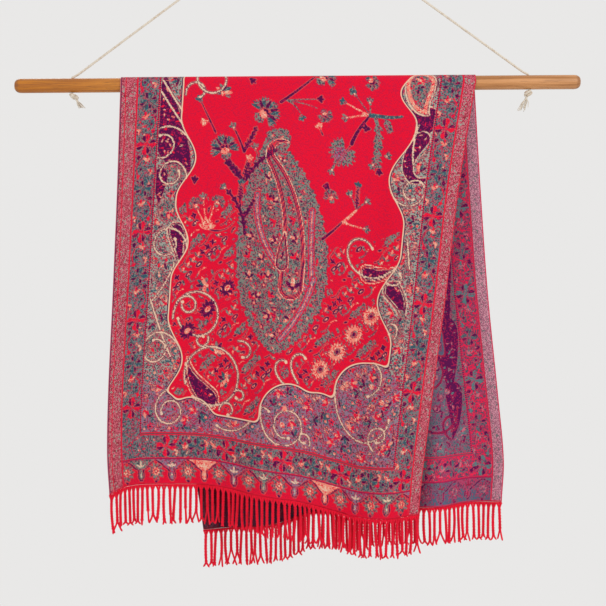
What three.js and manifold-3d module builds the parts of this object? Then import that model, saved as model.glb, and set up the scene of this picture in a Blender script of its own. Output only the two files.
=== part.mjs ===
// A long woven shawl with twisted fringes, folded over a round wooden rod that hangs from a knotted cotton cord.
// Millimetres, +Z up, +X along the rod, the shawl's front fall on the -Y side.
// The origin is the underside of the cord's bend, where a wall hook carries everything.
import * as THREE from "three";
import { mergeVertices } from "three/addons/utils/BufferGeometryUtils.js";
import Module from "manifold-3d";

const wasm = await Module();
wasm.setup();

// Driving sizes
const GAP = 0.3; // between touching pieces
const ROD_RADIUS = 14;
const ROD_LENGTH = 1119;
const ROD_END_ROUND = 9; // radius on the rod's end edges
const ROD_OFFSET = -5.5; // the rod's middle against the cord's bend, along X
const ROD_HEIGHT = -338.6; // the rod's axis below the origin
const HOLE_SPACING = 906; // between the rod's two cord holes
const HOLE_RADIUS = 4;
const CORD_RADIUS = 2.25;
const CLOTH_THICKNESS = 1.5;
const CLOTH_WIDTH = 700;
const FRINGE_LENGTH = 75;
const FRINGE_STRANDS = 61; // on each end of the cloth
const STRAND_RADIUS = 2.2;
const ROOT_SWELL = 1.3; // how much thicker a strand is at its root
const STRIP_HEIGHT = 4; // the woven heading that each fringe hangs from

const WRAP_RADIUS = ROD_RADIUS + GAP + CLOTH_THICKNESS / 2;

// Mesh fineness
const CLOTH_COLUMNS = 38;
const WRAP_ROWS = 4;
const FALL_ROWS = 11;
const STRAND_SIDES = 4;
const STRAND_SEGMENTS = 3;
const ROD_SIDES = 28;
const CORD_SIDES = 8;
const CORD_STEPS_PER_POINT = 2;

// Sections down each fall. share is the way from the rod's axis to the hem, left and right are where the
// selvages lie along X, and fold is the share of the folds' full depth that has opened there.
const FRONT_SECTIONS = [
  { share: 0.0, left: -354, right: 346, fold: 0.0 },
  { share: 0.25, left: -362, right: 310, fold: 0.36 },
  { share: 0.5, left: -372, right: 283, fold: 0.6 },
  { share: 0.75, left: -383, right: 253, fold: 0.82 },
  { share: 0.9, left: -386, right: 236, fold: 0.93 },
  { share: 1.0, left: -382, right: 227, fold: 1.0 },
];
const BACK_SECTIONS = [
  { share: 0.0, left: -355, right: 347, fold: 0.0 },
  { share: 0.25, left: -318, right: 358, fold: 0.36 },
  { share: 0.5, left: -278, right: 371, fold: 0.6 },
  { share: 0.75, left: -238, right: 390, fold: 0.82 },
  { share: 0.9, left: -212, right: 400, fold: 0.93 },
  { share: 1.0, left: -199, right: 395, fold: 1.0 },
];

// The hem's drop below the rod's axis. across is the way from the left selvage to the right one.
const FRONT_HEM = [
  { across: 0.0, drop: 811 },
  { across: 0.06, drop: 791 },
  { across: 0.16, drop: 782 },
  { across: 0.3, drop: 789 },
  { across: 0.45, drop: 803 },
  { across: 0.6, drop: 817 },
  { across: 0.72, drop: 842 },
  { across: 0.8, drop: 855 },
  { across: 1.0, drop: 853 },
];
const BACK_HEM = [
  { across: 0.0, drop: 883 },
  { across: 0.12, drop: 883 },
  { across: 0.27, drop: 870 },
  { across: 0.38, drop: 855 },
  { across: 0.73, drop: 844 },
  { across: 1.0, drop: 832 },
];

// Soft vertical folds. across is the crest's place, width its whole width as a share of the fall's width,
// and depth how far the crest stands out at the hem.
const FRONT_FOLDS = [
  { across: 0.165, width: 0.34, depth: 44 },
  { across: 0.54, width: 0.41, depth: 54 },
  { across: 0.885, width: 0.27, depth: 34 },
];
const BACK_FOLDS = [
  { across: 0.1, width: 0.24, depth: 30 },
  { across: 0.36, width: 0.28, depth: 42 },
  { across: 0.64, width: 0.28, depth: 40 },
  { across: 0.9, width: 0.24, depth: 30 },
];
const INWARD_DRIFT = 5; // how far the valleys come in below the rod, at the hem

// How far each fringe strand leans from straight down at its free end, as waves along the fringe, and the share
// of that lean which it also takes away from the rod.
const SWAY_OUTWARD = 0.3;
const STRAND_SWAY = [
  { reach: 1.6, turn: 1.7, start: 0.4 },
  { reach: 1.1, turn: 4.1, start: 1.9 },
];

const FRONT = { side: -1, sections: FRONT_SECTIONS, hem: FRONT_HEM, folds: FRONT_FOLDS };
const BACK = { side: 1, sections: BACK_SECTIONS, hem: BACK_HEM, folds: BACK_FOLDS };

// The cord's route from the middle of its bend to the right-hand hole's underside, in the plane of the rod's
// axis. The left half mirrors it.
const CORD_HALF = [
  { x: 0, z: 2.25 },
  { x: 3.5, z: 1.7 },
  { x: 6.6, z: 0.1 },
  { x: 14, z: -5.3 },
  { x: 60, z: -39 },
  { x: 140, z: -97.5 },
  { x: 220, z: -156 },
  { x: 300, z: -214.6 },
  { x: 380, z: -273.2 },
  { x: 435, z: -313.4 },
  { x: 443, z: -318.6 },
  { x: 448.5, z: -321.3 },
  { x: 451.8, z: -324 },
  { x: 453, z: -327.6 },
  { x: 453, z: -338.6 },
  { x: 453, z: -352.6 },
];

// Knots under the rod. lean is how far the frayed end drifts along X for each millimetre down, tail is the
// frayed end's length and spread its radius at the foot.
const KNOTS = [
  { name: "knot_left", side: -1, lean: 0.72, tail: 17, spread: 5.5 },
  { name: "knot_right", side: 1, lean: -0.36, tail: 30, spread: 8 },
];
const KNOT_PROFILE = [
  { radius: 4.6, down: 0 },
  { radius: 6.3, down: 2.5 },
  { radius: 7.0, down: 7 },
  { radius: 6.2, down: 11 },
  { radius: 4.4, down: 15 },
];
const KNOT_SIDES = 12;
const TAIL_YARNS = 9;
const YARN_RADIUS = 0.9;
const YARN_ROOTS = 2.3; // radius of the ring in which the frayed yarns leave the knot
const YARN_BOW = 0.5;

const MATERIALS = {
  wood: new THREE.MeshStandardMaterial({ color: 0xc08a44, roughness: 0.55, metalness: 0 }),
  cotton: new THREE.MeshStandardMaterial({ color: 0xe6dccb, roughness: 0.9, metalness: 0 }),
  cloth: new THREE.MeshStandardMaterial({ color: 0xc22a48, roughness: 0.85, metalness: 0 }),
  reverse: new THREE.MeshStandardMaterial({ color: 0x6f6470, roughness: 0.85, metalness: 0 }),
  fringe: new THREE.MeshStandardMaterial({ color: 0xe0102c, roughness: 0.8, metalness: 0 }),
};

// A smooth curve through a table's rows: the value of column at the place where key is at.
function through(rows, key, column, at) {
  const last = rows.length - 1;
  let i = 0;
  while (i < last - 1 && at > rows[i + 1][key]) i += 1;
  const slope = (k) => {
    const low = rows[Math.max(k - 1, 0)];
    const high = rows[Math.min(k + 1, last)];
    return (high[column] - low[column]) / (high[key] - low[key]);
  };
  const [a, b] = [rows[i], rows[i + 1]];
  const span = b[key] - a[key];
  const t = (at - a[key]) / span;
  const [t2, t3] = [t * t, t * t * t];
  return (
    a[column] * (2 * t3 - 3 * t2 + 1) +
    slope(i) * span * (t3 - 2 * t2 + t) +
    b[column] * (3 * t2 - 2 * t3) +
    slope(i + 1) * span * (t3 - t2)
  );
}

// How far the folds stand out from the rod's tangent plane.
function foldDepth(fall, across, share) {
  const opened = through(fall.sections, "share", "fold", share);
  const crests = fall.folds.map((f) => {
    const off = (across - f.across) / f.width;
    return Math.abs(off) < 0.5 ? f.depth * 0.5 * (1 + Math.cos(2 * Math.PI * off)) : 0;
  });
  return opened * crests.reduce((sum, c) => sum + c, 0) - INWARD_DRIFT * share * share;
}

// The cloth's middle surface. across runs from the left selvage to the right one. along is from -1 at the top
// of the rod to 0 where the cloth leaves it, and on to 1 at the hem.
function clothPoint(fall, across, along) {
  const share = Math.max(along, 0);
  const left = through(fall.sections, "share", "left", share);
  const right = through(fall.sections, "share", "right", share);
  const x = left + (right - left) * across;
  if (along < 0) {
    const seam = GAP / 2 / WRAP_RADIUS;
    const angle = seam + (1 + along) * (Math.PI / 2 - seam);
    const y = fall.side * WRAP_RADIUS * Math.sin(angle);
    return new THREE.Vector3(x, y, ROD_HEIGHT + WRAP_RADIUS * Math.cos(angle));
  }
  const drop = through(fall.hem, "across", "drop", across);
  const y = fall.side * (WRAP_RADIUS + foldDepth(fall, across, share));
  return new THREE.Vector3(x, y, ROD_HEIGHT - share * drop);
}

// The surface's normal, pointing away from the rod, from two short steps across and along the cloth.
function clothNormal(fall, across, along) {
  const step = 1e-3;
  const [a0, a1] = [Math.max(across - step, 0), Math.min(across + step, 1)];
  const [s0, s1] = [Math.max(along - step, -1), Math.min(along + step, 1)];
  const acrossward = clothPoint(fall, a1, along).sub(clothPoint(fall, a0, along));
  const downward = clothPoint(fall, across, s1).sub(clothPoint(fall, across, s0));
  return acrossward.cross(downward).normalize().multiplyScalar(fall.side);
}

// A closed wall from two grids of points, outer and inner, with the same rows and columns.
function wall(outer, inner, flip) {
  const [rows, columns] = [outer.length, outer[0].length];
  const points = [...outer.flat(), ...inner.flat()];
  const at = (layer, r, c) => layer * rows * columns + r * columns + c;
  const faces = [];
  const quad = (a, b, c, d) => faces.push(a, b, c, a, c, d);
  for (let r = 0; r < rows - 1; r += 1) {
    for (let c = 0; c < columns - 1; c += 1) {
      quad(at(0, r, c), at(0, r + 1, c), at(0, r + 1, c + 1), at(0, r, c + 1));
      quad(at(1, r, c), at(1, r, c + 1), at(1, r + 1, c + 1), at(1, r + 1, c));
    }
    quad(at(0, r, 0), at(1, r, 0), at(1, r + 1, 0), at(0, r + 1, 0));
    quad(at(0, r + 1, columns - 1), at(1, r + 1, columns - 1), at(1, r, columns - 1), at(0, r, columns - 1));
  }
  for (let c = 0; c < columns - 1; c += 1) {
    quad(at(0, 0, c + 1), at(1, 0, c + 1), at(1, 0, c), at(0, 0, c));
    quad(at(0, rows - 1, c), at(1, rows - 1, c), at(1, rows - 1, c + 1), at(0, rows - 1, c + 1));
  }
  return closedMesh(points, flip ? faces.reverse() : faces);
}

function closedMesh(points, faces) {
  const geometry = new THREE.BufferGeometry();
  geometry.setAttribute("position", new THREE.Float32BufferAttribute(points.flatMap((p) => p.toArray()), 3));
  geometry.setIndex(faces);
  return geometry;
}

// The rows of a fall, from the top of the rod to the hem.
function fallRows() {
  const wrap = Array.from({ length: WRAP_ROWS }, (_, i) => i / WRAP_ROWS - 1);
  const drop = Array.from({ length: FALL_ROWS + 1 }, (_, i) => i / FALL_ROWS);
  return [...wrap, ...drop];
}

const columnShares = Array.from({ length: CLOTH_COLUMNS + 1 }, (_, i) => i / CLOTH_COLUMNS);

function shawlFall(fall) {
  const layer = (offset) =>
    fallRows().map((along) =>
      columnShares.map((across) =>
        clothPoint(fall, across, along).addScaledVector(clothNormal(fall, across, along), offset),
      ),
    );
  return wall(layer(CLOTH_THICKNESS / 2), layer(-CLOTH_THICKNESS / 2), fall.side > 0);
}

// A three.js geometry as a solid that can be joined and cut, and back.
function solidOf(geometry) {
  const bare = geometry.clone();
  bare.deleteAttribute("normal");
  bare.deleteAttribute("uv");
  const merged = mergeVertices(bare, 1e-4);
  return new wasm.Manifold(
    new wasm.Mesh({
      numProp: 3,
      vertProperties: new Float32Array(merged.attributes.position.array),
      triVerts: new Uint32Array(merged.index.array),
    }),
  );
}

function geometryOf(solid) {
  const mesh = solid.getMesh();
  const geometry = new THREE.BufferGeometry();
  geometry.setAttribute("position", new THREE.BufferAttribute(new Float32Array(mesh.vertProperties), 3));
  geometry.setIndex(new THREE.BufferAttribute(new Uint32Array(mesh.triVerts), 1));
  return geometry;
}

// Where the strand with this number hangs, as a share of the fall's width, spaced evenly along the hem's cloth.
function strandPlaces(fall) {
  const samples = 400;
  const lengths = [0];
  let last = clothPoint(fall, 0, 1);
  for (let i = 1; i <= samples; i += 1) {
    const next = clothPoint(fall, i / samples, 1);
    lengths.push(lengths[i - 1] + next.distanceTo(last));
    last = next;
  }
  const whole = lengths[samples];
  return Array.from({ length: FRINGE_STRANDS }, (_, k) => {
    const wanted = ((k + 0.5) / FRINGE_STRANDS) * whole;
    const i = lengths.findIndex((l) => l >= wanted);
    return (i - (lengths[i] - wanted) / (lengths[i] - lengths[i - 1])) / samples;
  });
}

// A tapering strand of a few flat sides through the given centres.
function strand(centres, radii, sides) {
  const points = [];
  centres.forEach((centre, k) => {
    for (let s = 0; s < sides; s += 1) {
      const angle = (2 * Math.PI * (s + 0.5)) / sides;
      points.push(
        new THREE.Vector3(Math.cos(angle), Math.sin(angle), 0).multiplyScalar(radii[k]).add(centre),
      );
    }
  });
  const faces = [];
  const last = (centres.length - 1) * sides;
  for (let k = 0; k < centres.length - 1; k += 1) {
    for (let s = 0; s < sides; s += 1) {
      const [a, b] = [k * sides + s, k * sides + ((s + 1) % sides)];
      faces.push(a, a + sides, b + sides, a, b + sides, b);
    }
  }
  for (let s = 1; s < sides - 1; s += 1) {
    faces.push(0, s, s + 1, last, last + s + 1, last + s);
  }
  return closedMesh(points, faces);
}

function sway(number) {
  return STRAND_SWAY.reduce((sum, w) => sum + w.reach * Math.sin(w.turn * number + w.start), 0);
}

// A row of strands whose roots are fused into a narrow heading just below the hem.
function fringe(fall) {
  const level = (across, below, offset) =>
    clothPoint(fall, across, 1)
      .addScaledVector(clothNormal(fall, across, 1), offset)
      .add(new THREE.Vector3(0, 0, -below));
  const layer = (offset) =>
    [GAP, GAP + STRIP_HEIGHT].map((below) => columnShares.map((across) => level(across, below, offset)));
  const strip = wall(layer(CLOTH_THICKNESS / 2), layer(-CLOTH_THICKNESS / 2), fall.side > 0);
  const strands = strandPlaces(fall).map((across, number) => {
    const root = level(across, GAP + STRIP_HEIGHT / 2, 0);
    const centres = Array.from({ length: STRAND_SEGMENTS + 1 }, (_, k) => {
      const down = k / STRAND_SEGMENTS;
      const lean = sway(number) * down * down;
      return root.clone().add(new THREE.Vector3(lean, fall.side * SWAY_OUTWARD * lean, -FRINGE_LENGTH * down));
    });
    const radii = centres.map((_, k) => (k === 0 ? STRAND_RADIUS * ROOT_SWELL : STRAND_RADIUS));
    return solidOf(strand(centres, radii, STRAND_SIDES));
  });
  return geometryOf(wasm.Manifold.union([solidOf(strip), ...strands]));
}

// The rod: a round stick with rounded ends, drilled upright for the cord near each end.
function rod() {
  const half = ROD_LENGTH / 2;
  const cap = [0, 30, 60, 90].map((degrees) => {
    const angle = THREE.MathUtils.degToRad(degrees);
    const out = ROD_RADIUS - ROD_END_ROUND + ROD_END_ROUND * Math.sin(angle);
    return new THREE.Vector2(out, half - ROD_END_ROUND + ROD_END_ROUND * Math.cos(angle));
  });
  const profile = [new THREE.Vector2(0, half), ...cap];
  const mirrored = profile.map((p) => new THREE.Vector2(p.x, -p.y)).reverse();
  const stick = new THREE.LatheGeometry([...profile, ...mirrored].reverse(), ROD_SIDES);
  stick.rotateZ(-Math.PI / 2).translate(ROD_OFFSET, 0, ROD_HEIGHT);
  const drills = [-1, 1].map((side) => {
    const drill = new THREE.CylinderGeometry(HOLE_RADIUS, HOLE_RADIUS, 3 * ROD_RADIUS, 16);
    drill.rotateX(Math.PI / 2).translate((side * HOLE_SPACING) / 2, 0, ROD_HEIGHT);
    return solidOf(drill);
  });
  return geometryOf(drills.reduce((stickLeft, drill) => stickLeft.subtract(drill), solidOf(stick)));
}

// A curve whose steps follow its points, so that bends get short steps and straight runs long ones.
class CordRoute extends THREE.CatmullRomCurve3 {
  getPointAt(share, target) {
    return this.getPoint(share, target);
  }

  getTangentAt(share, target) {
    return this.getTangent(share, target);
  }
}

function cord() {
  const right = CORD_HALF.map((p) => new THREE.Vector3(p.x, 0, p.z));
  const left = CORD_HALF.slice(1).map((p) => new THREE.Vector3(-p.x, 0, p.z));
  const route = new CordRoute([...left.reverse(), ...right], false, "centripetal");
  const section = new THREE.Shape(
    Array.from({ length: CORD_SIDES }, (_, k) => {
      const angle = (2 * Math.PI * k) / CORD_SIDES;
      return new THREE.Vector2(CORD_RADIUS * Math.cos(angle), CORD_RADIUS * Math.sin(angle));
    }),
  );
  const steps = CORD_STEPS_PER_POINT * (route.points.length - 1);
  return new THREE.ExtrudeGeometry(section, { steps, bevelEnabled: false, extrudePath: route });
}

// A tight round knot against the rod's underside, with a frayed end of loose yarns.
function knot({ lean, tail, spread }) {
  const outline = KNOT_PROFILE.map((p) => new THREE.Vector2(p.radius, -p.down));
  const foot = KNOT_PROFILE[KNOT_PROFILE.length - 1].down;
  const profile = [new THREE.Vector2(0, 0), ...outline, new THREE.Vector2(0, -foot)];
  const body = new THREE.LatheGeometry(profile.reverse(), KNOT_SIDES).rotateX(Math.PI / 2);
  const yarns = Array.from({ length: TAIL_YARNS }, (_, k) => {
    const angle = (2 * Math.PI * k) / (TAIL_YARNS - 1);
    const away = k === 0 ? 0 : 1;
    const out = new THREE.Vector3(Math.cos(angle), Math.sin(angle), 0).multiplyScalar(away);
    const root = out.clone().multiplyScalar(YARN_ROOTS).setZ(-foot + 2);
    const length = tail * (0.85 + 0.15 * Math.sin(2.3 * k));
    const end = out.clone().multiplyScalar(spread).setZ(-foot - length);
    const middle = root.clone().lerp(end, 0.5).addScaledVector(out, YARN_BOW);
    return solidOf(strand([root, middle, end], [YARN_RADIUS, YARN_RADIUS, YARN_RADIUS], 3));
  });
  const whole = geometryOf(wasm.Manifold.union([solidOf(body), ...yarns]));
  const positions = whole.attributes.position;
  for (let i = 0; i < positions.count; i += 1) {
    positions.setX(i, positions.getX(i) + lean * Math.max(-positions.getZ(i) - 1, 0));
  }
  return whole;
}

const group = new THREE.Group();

function add(name, geometry, material) {
  const mesh = new THREE.Mesh(geometry, material);
  mesh.name = name;
  group.add(mesh);
  return mesh;
}

add("rod", rod(), MATERIALS.wood);
add("cord", cord(), MATERIALS.cotton);
for (const tied of KNOTS) {
  const place = add(tied.name, knot(tied), MATERIALS.cotton).position;
  place.set((tied.side * HOLE_SPACING) / 2, 0, ROD_HEIGHT - ROD_RADIUS - GAP);
}
add("shawl_front", shawlFall(FRONT), MATERIALS.cloth);
add("shawl_back", shawlFall(BACK), MATERIALS.reverse);
add("fringe_front", fringe(FRONT), MATERIALS.fringe);
add("fringe_back", fringe(BACK), MATERIALS.fringe);

export default group;
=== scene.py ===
"""A fringed paisley shawl folded over a hanging wooden rod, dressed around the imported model.

Sizes are millimetres unless a name says otherwise, and become metres when a mesh is made.
+X runs along the rod, +Z is up and the shawl's front fall is on the -Y side.
"""
import math

import bpy
import numpy as np
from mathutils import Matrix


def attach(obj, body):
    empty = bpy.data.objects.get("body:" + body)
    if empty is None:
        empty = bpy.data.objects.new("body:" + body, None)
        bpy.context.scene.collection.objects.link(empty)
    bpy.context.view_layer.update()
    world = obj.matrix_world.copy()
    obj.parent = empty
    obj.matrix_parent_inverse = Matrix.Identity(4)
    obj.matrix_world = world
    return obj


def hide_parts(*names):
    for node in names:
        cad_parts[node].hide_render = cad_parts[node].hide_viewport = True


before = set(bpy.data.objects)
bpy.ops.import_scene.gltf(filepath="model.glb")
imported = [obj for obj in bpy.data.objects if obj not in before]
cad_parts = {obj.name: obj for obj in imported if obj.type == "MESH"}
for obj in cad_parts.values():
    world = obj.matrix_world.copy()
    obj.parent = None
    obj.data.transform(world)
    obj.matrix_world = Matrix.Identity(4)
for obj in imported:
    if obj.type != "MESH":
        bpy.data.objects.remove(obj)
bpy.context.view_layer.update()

MM = 0.001
FAR = 30.0

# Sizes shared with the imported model
ROD_RADIUS = 14.0
ROD_LENGTH = 1119.0
ROD_OFFSET = -5.5
ROD_HEIGHT = -338.6
HOLE_X = 453.0
HOLE_RADIUS = 4.0
CORD_RADIUS = 2.25
CLOTH_THICKNESS = 1.5
CLOTH_WIDTH = 700.0
GAP = 0.3
WRAP_RADIUS = ROD_RADIUS + GAP + CLOTH_THICKNESS / 2
WRAP_LENGTH = WRAP_RADIUS * math.pi / 2
INWARD_DRIFT = 5.0
RIGHT_TRIM = 10.0
FRINGE_LENGTH = 75.0
FRINGE_STRANDS = 61

# The cloth's woven stripes: how wide the selvage and the side band are, and where the hem and its band end
SELVAGE_WIDTH = 36.0
BAND_WIDTH = 80.0
HEM_TOP = 48.0
BAND_TOP = 96.0

# Camera
EYE = (0.0023, -2.4, -0.7723)
ROLL = math.radians(0.4056)

view = bpy.data.cameras.new("camera")
view.lens = 72
view.sensor_width = 36
camera = bpy.data.objects.new("camera", view)
camera.location = EYE
camera.rotation_euler = (math.pi / 2, ROLL, 0)
bpy.context.collection.objects.link(camera)
bpy.context.scene.camera = camera


# Meshes
def piece_from(name, points, faces, materials, face_material=None):
    """A smooth mesh object from points in millimetres and faces as index rows."""
    mesh = bpy.data.meshes.new(name)
    mesh.from_pydata((np.asarray(points) * MM).tolist(), [], faces)
    for material in materials:
        mesh.materials.append(material)
    if face_material is not None:
        mesh.polygons.foreach_set("material_index", np.asarray(face_material, dtype=np.int32))
    mesh.polygons.foreach_set("use_smooth", np.ones(len(mesh.polygons), dtype=bool))
    mesh.update()
    piece = bpy.data.objects.new(name, mesh)
    bpy.context.collection.objects.link(piece)
    return piece


def keep(piece, name, values, kind="FLOAT", field="value"):
    """Keeps a value for each point of the piece, for its material."""
    attribute = piece.data.attributes.new(name, kind, "POINT")
    attribute.data.foreach_set(field, np.asarray(values, dtype=np.float32).ravel())


def tube(centres, radii, sides):
    """Points and faces of a closed tube of round rings through the centres."""
    centres = np.asarray(centres, float)
    ahead = np.gradient(centres, axis=0)
    ahead /= np.linalg.norm(ahead, axis=1)[:, None]
    side = np.zeros_like(centres)
    guide = np.array((0.0, 1.0, 0.0))
    for k, way in enumerate(ahead):
        guide = guide - way * guide.dot(way)
        guide /= np.linalg.norm(guide)
        side[k] = guide
    angles = np.arange(sides)[:, None] * 2 * math.pi / sides
    ring = np.cos(angles) * side[:, None] + np.sin(angles) * np.cross(ahead, side)[:, None]
    points = centres[:, None] + ring * np.asarray(radii, float)[:, None, None]
    last = (len(centres) - 1) * sides
    faces = []
    for start in range(0, last, sides):
        for s in range(sides):
            n = (s + 1) % sides
            faces.append((start + s, start + n, start + sides + n, start + sides + s))
    faces += [tuple(range(sides))[::-1], tuple(range(last, last + sides))]
    return points.reshape(-1, 3), faces


def joined(parts):
    points, faces, start = [], [], 0
    for part_points, part_faces in parts:
        points.append(part_points)
        faces += [tuple(i + start for i in f) for f in part_faces]
        start += len(part_points)
    return np.concatenate(points), faces


def reach_along(points):
    """How far along a polyline each of its points lies."""
    return np.concatenate([[0], np.cumsum(np.linalg.norm(np.diff(points, axis=0), axis=1))])


def even_steps(points, step):
    """The polyline's points again, at even steps along it."""
    points = np.asarray(points, float)
    reach = reach_along(points)
    places = np.linspace(0, reach[-1], max(int(round(reach[-1] / step)), 2) + 1)
    return np.stack([np.interp(places, reach, column) for column in points.T], axis=1)


def rounded(points, steps):
    """A smooth curve through the points."""
    p = np.asarray(points, float)
    p = np.concatenate([[2 * p[0] - p[1]], p, [2 * p[-1] - p[-2]]])
    t = np.arange(steps)[:, None] / steps
    rows = []
    for a, b, c, d in zip(p[:-3], p[1:-2], p[2:-1], p[3:]):
        square, cube = 2 * a - 5 * b + 4 * c - d, 3 * b - a - 3 * c + d
        rows.append(b + 0.5 * ((c - a) * t + square * t**2 + cube * t**3))
    return np.concatenate(rows + [p[-2:-1]])


# Materials
def linear(*tone):
    """A colour as the screen shows it, from 0 to 255, as light."""
    shares = [c / 255 for c in tone]
    return tuple(c / 12.92 if c <= 0.04045 else ((c + 0.055) / 1.055) ** 2.4 for c in shares) + (1.0,)


class Shader:
    """Short ways to lay out one material's nodes."""

    def __init__(self, name, roughness, sheen=0.0, specular=0.5):
        self.material = bpy.data.materials.new(name)
        self.material.use_nodes = True
        self.tree = self.material.node_tree
        self.surface = self.tree.nodes["Principled BSDF"].inputs
        self.surface["Roughness"].default_value = roughness
        self.surface["Sheen Weight"].default_value = sheen
        self.surface["Specular IOR Level"].default_value = specular

    def feed(self, socket, value):
        if isinstance(value, bpy.types.NodeSocket):
            self.tree.links.new(value, socket)
        elif value is not None:
            socket.default_value = value

    def node(self, kind, inputs, output=0, **settings):
        """One output of a new node, its inputs given by name or number."""
        node = self.tree.nodes.new("ShaderNode" + kind)
        for key, value in settings.items():
            setattr(node, key, value)
        for key, value in inputs.items():
            self.feed(node.inputs[key], value)
        return node.outputs[output]

    def place(self):
        return self.node("TexCoord", {}, "Object")

    def attribute(self, name, output="Fac"):
        return self.node("Attribute", {}, output, attribute_name=name)

    def axis(self, vector, name):
        return self.node("SeparateXYZ", {0: vector}, name)

    def math(self, kind, a, b=None):
        return self.node("Math", {0: a, 1: b}, operation=kind)

    def plus(self, a, b):
        return self.math("ADD", a, b)

    def times(self, a, b):
        return self.math("MULTIPLY", a, b)

    def mix(self, amount, a, b, kind="MIX"):
        return self.node("Mix", {0: amount, 6: a, 7: b}, 2, data_type="RGBA", blend_type=kind)

    def noise(self, where, scale, detail):
        stretched = self.node("VectorMath", {0: where, 1: scale}, operation="MULTIPLY")
        return self.node("TexNoise", {"Vector": stretched, "Scale": 1.0, "Detail": detail}, "Fac")

    def cells(self, where, size, seed):
        """A different value from 0 to 1 in each small block of threads."""
        block = self.node("VectorMath", {0: where, 1: size}, operation="SNAP")
        return self.node("TexWhiteNoise", {"Vector": block, "W": seed}, "Value", noise_dimensions="4D")

    def some(self, value, share):
        """1 for the given share of the cells and 0 for the rest."""
        return self.math("LESS_THAN", value, share)

    def step(self, value, edge, soft, low, high):
        ends = {"From Min": edge - soft, "From Max": edge + soft, "To Min": low, "To Max": high}
        return self.node("MapRange", {"Value": value, **ends}, interpolation_type="SMOOTHSTEP")

    def under(self, value, edge, soft, share=1.0):
        """The share where value is under edge and 0 over it, with a soft step."""
        return self.step(value, edge, soft, share, 0.0)

    def over(self, value, edge, soft, share=1.0):
        return self.step(value, edge, soft, 0.0, share)

    def band(self, value, low, high, soft=0.4):
        return self.times(self.under(value, high, soft), self.over(value, low, soft))

    def bump(self, height, strength, depth):
        inputs = {"Height": height, "Strength": strength, "Distance": depth}
        self.feed(self.surface["Normal"], self.node("Bump", inputs))

    def paint(self, colour):
        self.feed(self.surface["Base Color"], colour)
        return self.material


def wood_material():
    s = Shader("oiled_oak", 0.42)
    where = s.place()
    off_middle = s.plus(s.axis(where, "X"), -ROD_OFFSET * MM)
    along = s.plus(s.times(off_middle, 1 / (ROD_LENGTH * MM)), 0.5)
    grain = s.noise(where, (7.0, 190.0, 190.0), 6.0)
    streak = s.noise(where, (2.2, 60.0, 60.0), 3.0)
    pore = s.noise(where, (30.0, 900.0, 900.0), 2.0)
    pale = s.mix(along, linear(206, 126, 4), linear(212, 152, 98))
    deep = s.mix(along, linear(158, 86, 4), linear(170, 112, 62))
    colour = s.mix(s.under(grain, 0.5, 0.22), pale, deep)
    colour = s.mix(s.under(streak, 0.44, 0.1, 0.4), colour, linear(138, 80, 14))
    colour = s.mix(s.under(pore, 0.36, 0.05, 0.5), colour, linear(96, 54, 20))
    near_end = s.over(s.math("ABSOLUTE", off_middle), ROD_LENGTH / 2 * MM - 0.0085, 0.003, 0.45)
    colour = s.mix(near_end, colour, linear(120, 68, 28))
    s.bump(s.plus(grain, pore), 0.25, 0.0006)
    return s.paint(colour)


def cotton_material():
    s = Shader("cotton_cord", 0.9, 0.2)
    hair = s.noise(s.place(), (1400.0,) * 3, 3.0)
    dirt = s.noise(s.place(), (130.0,) * 3, 2.0)
    colour = s.mix(s.under(hair, 0.5, 0.2), linear(236, 228, 214), linear(205, 192, 174))
    colour = s.mix(s.under(dirt, 0.42, 0.1, 0.5), colour, linear(190, 166, 140))
    s.bump(hair, 0.5, 0.0006)
    return s.paint(colour)


def yarn_material():
    s = Shader("fringe_yarn", 0.8, 0.06, 0.2)
    hair = s.noise(s.place(), (1500.0, 1500.0, 420.0), 3.0)
    tone = s.noise(s.place(), (60.0,) * 3, 2.0)
    colour = s.mix(s.under(hair, 0.5, 0.22), linear(250, 14, 56), linear(222, 8, 44))
    colour = s.mix(s.under(tone, 0.42, 0.12, 0.35), colour, linear(190, 4, 38))
    s.bump(hair, 0.6, 0.0007)
    return s.paint(colour)


FACE = {
    "field": linear(232, 8, 50),
    "field_fleck": linear(196, 22, 64),
    "band": linear(112, 126, 128),
    "panel": linear(156, 160, 150),
    "panel_fleck": linear(186, 48, 86),
    "mauve": linear(142, 116, 138),
    "shadow": linear(72, 70, 84),
    "blush": linear(182, 46, 90),
    "grey": linear(126, 132, 124),
    "plum": linear(84, 8, 70),
    "maroon": linear(160, 16, 76),
    "red": linear(236, 20, 58),
    "teal": linear(50, 92, 106),
    "salmon": linear(240, 142, 124),
    "cream": linear(236, 200, 172),
    "selvage": linear(216, 110, 126),
    "selvage_dark": linear(152, 42, 62),
    "edge_red": linear(226, 22, 58),
    "gap_shade": 0.0,
    "hem_share": 0.0,
}
REVERSE = {
    "field": linear(86, 104, 128),
    "field_fleck": linear(120, 70, 110),
    "band": linear(240, 38, 84),
    "panel": linear(112, 116, 118),
    "panel_fleck": linear(180, 52, 94),
    "mauve": linear(104, 112, 124),
    "shadow": linear(84, 78, 100),
    "blush": linear(140, 70, 110),
    "grey": linear(184, 70, 108),
    "plum": linear(96, 14, 80),
    "maroon": linear(168, 24, 82),
    "red": linear(96, 130, 136),
    "teal": linear(88, 112, 120),
    "salmon": linear(216, 110, 130),
    "cream": linear(170, 30, 72),
    "selvage": linear(220, 156, 172),
    "selvage_dark": linear(160, 92, 118),
    "edge_red": linear(222, 36, 78),
    # How much painted shade darkens the reverse in the gap behind the front fringe
    "gap_shade": 0.82,
    "hem_share": 0.14,
}
INKS = ("grey", "blush", "plum", "red", "teal", "salmon", "cream")
# Inks that lie over the grey and blush grounds
OPEN_INKS = ("plum", "red", "teal", "salmon", "cream")
# The tone that rims an ink's shapes
RIMS = {"plum": "salmon", "grey": "maroon"}
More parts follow.
